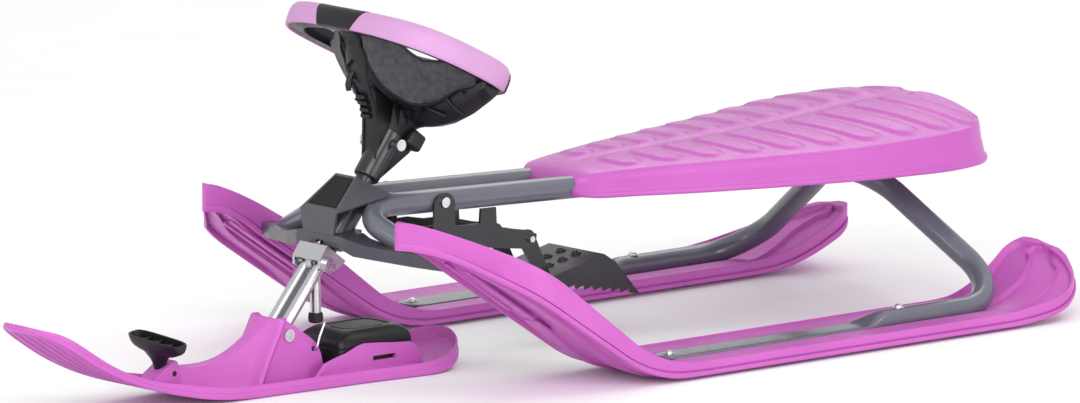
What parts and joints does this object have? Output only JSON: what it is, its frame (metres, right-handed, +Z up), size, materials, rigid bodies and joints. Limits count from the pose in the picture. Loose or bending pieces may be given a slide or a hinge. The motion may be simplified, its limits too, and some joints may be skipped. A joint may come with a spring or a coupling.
{
  "type": "steering sled",
  "caption": "Ride-on snow sled with moulded rear skis, tube frame, padded seat shell, steering wheel turning a pitching front ski, foot brake and pull-out tow handle.",
  "frame": {"origin": "on the ground under the middle of the outer box", "axes": "+X forward to the front ski tip, +Y to the rider's left, +Z up"},
  "size_m": [1.1765, 0.4874, 0.3531],
  "materials": {
    "pink_plastic": "satin",
    "grip_plastic": "soft satin",
    "black_plastic": "fine texture",
    "panel_black": "gloss",
    "frame_paint": "semi-gloss powder coat",
    "brake_paint": "satin",
    "rubber_black": "matte",
    "zinc_steel": "zinc plated",
    "bright_steel": "zinc plated"
  },
  "bodies": {
    "frame": {"frame_tube_left": "frame_paint", "frame_tube_right": "frame_paint", "front_crossbar": "frame_paint", "crossbar_screws": "bright_steel", "head_plate": "frame_paint", "head_panel": "panel_black", "head_tube": "frame_paint", "head_web": "frame_paint", "head_bush_upper": "black_plastic", "head_bush_lower": "black_plastic", "rear_ski_left": "pink_plastic", "rear_ski_right": "pink_plastic", "ski_bolts": "bright_steel", "seat_shell": "pink_plastic", "seat_strap_front": "frame_paint", "seat_strap_rear": "frame_paint", "seat_screws": "bright_steel", "brake_hanger": "brake_paint", "hanger_rivets": "bright_steel", "brake_pin": "bright_steel"},
    "steering": {"wheel_core": "black_plastic", "wheel_grip_left": "grip_plastic", "wheel_grip_right": "grip_plastic", "hub_screw": "bright_steel", "hub_nut": "bright_steel", "steering_shaft": "brake_paint", "fork_bracket": "zinc_steel", "fork_bolt": "bright_steel", "ski_strut": "zinc_steel", "stop_leg": "zinc_steel", "leg_bumper": "rubber_black"},
    "front_ski": {"front_ski": "pink_plastic", "pivot_rivet": "bright_steel", "pitch_spring": "bright_steel", "retractor_base": "black_plastic", "retractor_lid": "black_plastic", "retractor_screws": "bright_steel", "spool_axle": "bright_steel"},
    "tow_handle": {"tow_handle": "black_plastic"},
    "spool": {"cord_spool": "black_plastic"},
    "brake": {"brake_plate": "brake_paint", "brake_spring": "bright_steel"}
  },
  "joints": [
    {"name": "steer", "type": "hinge", "parent": "frame", "child": "steering", "pos_m": [0.1651, 0, 0.153], "axis": [-0.6018, 0, 0.7986], "range_deg": [-28, 28]},
    {"name": "front_ski_pitch", "type": "hinge", "parent": "steering", "child": "front_ski", "pos_m": [0.255, 0, 0.05], "axis": [0, -1, 0], "range_deg": [-4, 18], "stiffness_Nm_per_rad": 2},
    {"name": "tow_handle_pull", "type": "slide", "parent": "front_ski", "child": "tow_handle", "axis": [0.1392, 0, 0.9903], "range_m": [0, 0.05], "stiffness_N_per_m": 40, "springref_m": -0.05},
    {"name": "spool_spin", "type": "hinge", "parent": "front_ski", "child": "spool", "pos_m": [0.155, 0, 0.0185], "axis": [0, 0, 1], "range_deg": [-2, 150]},
    {"name": "brake_pedal", "type": "hinge", "parent": "frame", "child": "brake", "pos_m": [-0.04, 0, 0.109], "axis": [0, -1, 0], "range_deg": [0, 28], "stiffness_Nm_per_rad": 0.8, "springref_deg": -20.05}
  ],
  "couplings": [
    {"joint": "spool_spin", "follows": "tow_handle_pull", "rad_per_m": 45.455}
  ]
}
